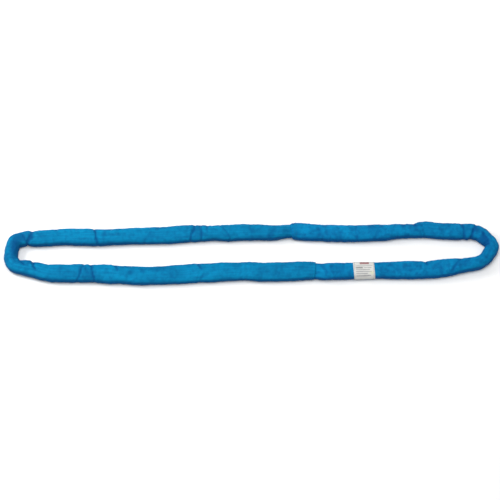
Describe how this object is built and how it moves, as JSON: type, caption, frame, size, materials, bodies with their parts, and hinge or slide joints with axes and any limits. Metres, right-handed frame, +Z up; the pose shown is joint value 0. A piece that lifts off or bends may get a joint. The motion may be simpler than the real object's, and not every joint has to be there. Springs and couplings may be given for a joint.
{
  "type": "endless round sling",
  "caption": "Endless polyester round sling lying as a long flat loop, with a wound yarn core, inner and outer sleeves and a sewn label.",
  "frame": {"origin": "under the middle of the loop, on the surface it lies on", "axes": "+X along the loop from the left eye to the right eye, +Y towards the back leg, +Z up"},
  "size_m": [1.8307, 0.2624, 0.0359],
  "materials": {
    "outer_sleeve": "woven polyester",
    "inner_sleeve": "woven polyester",
    "core_yarn": "untwisted yarn bundles",
    "tape": "adhesive cloth tape",
    "label": "coated label cloth",
    "sleeve_thread": "polyester thread",
    "label_thread": "polyester thread",
    "liner_thread": "polyester thread"
  },
  "bodies": {
    "middle": {"sleeve_left_back": "outer_sleeve", "sleeve_left_front": "outer_sleeve", "sleeve_right_back": "outer_sleeve", "sleeve_right_front": "outer_sleeve", "liner_back": "inner_sleeve", "liner_front": "inner_sleeve", "core_back": "core_yarn", "core_front": "core_yarn", "yarn_end_tape": "tape", "label": "label", "joint_stitches_back": "sleeve_thread", "joint_stitches_front": "sleeve_thread", "label_stitches": "label_thread", "liner_stitches": "liner_thread"},
    "left_eye": {"sleeve_left_eye": "outer_sleeve", "liner_left_eye": "inner_sleeve", "core_left_eye": "core_yarn"},
    "right_eye": {"sleeve_right_eye": "outer_sleeve", "liner_right_eye": "inner_sleeve", "core_right_eye": "core_yarn"}
  },
  "joints": [
    {"name": "left_eye_fold", "type": "hinge", "parent": "middle", "child": "left_eye", "pos_m": [-0.482, 0, 0.038], "axis": [0, 1, 0], "range_deg": [0, 179]},
    {"name": "right_eye_fold", "type": "hinge", "parent": "middle", "child": "right_eye", "pos_m": [0.482, 0, 0.038], "axis": [0, -1, 0], "range_deg": [0, 179]}
  ]
}
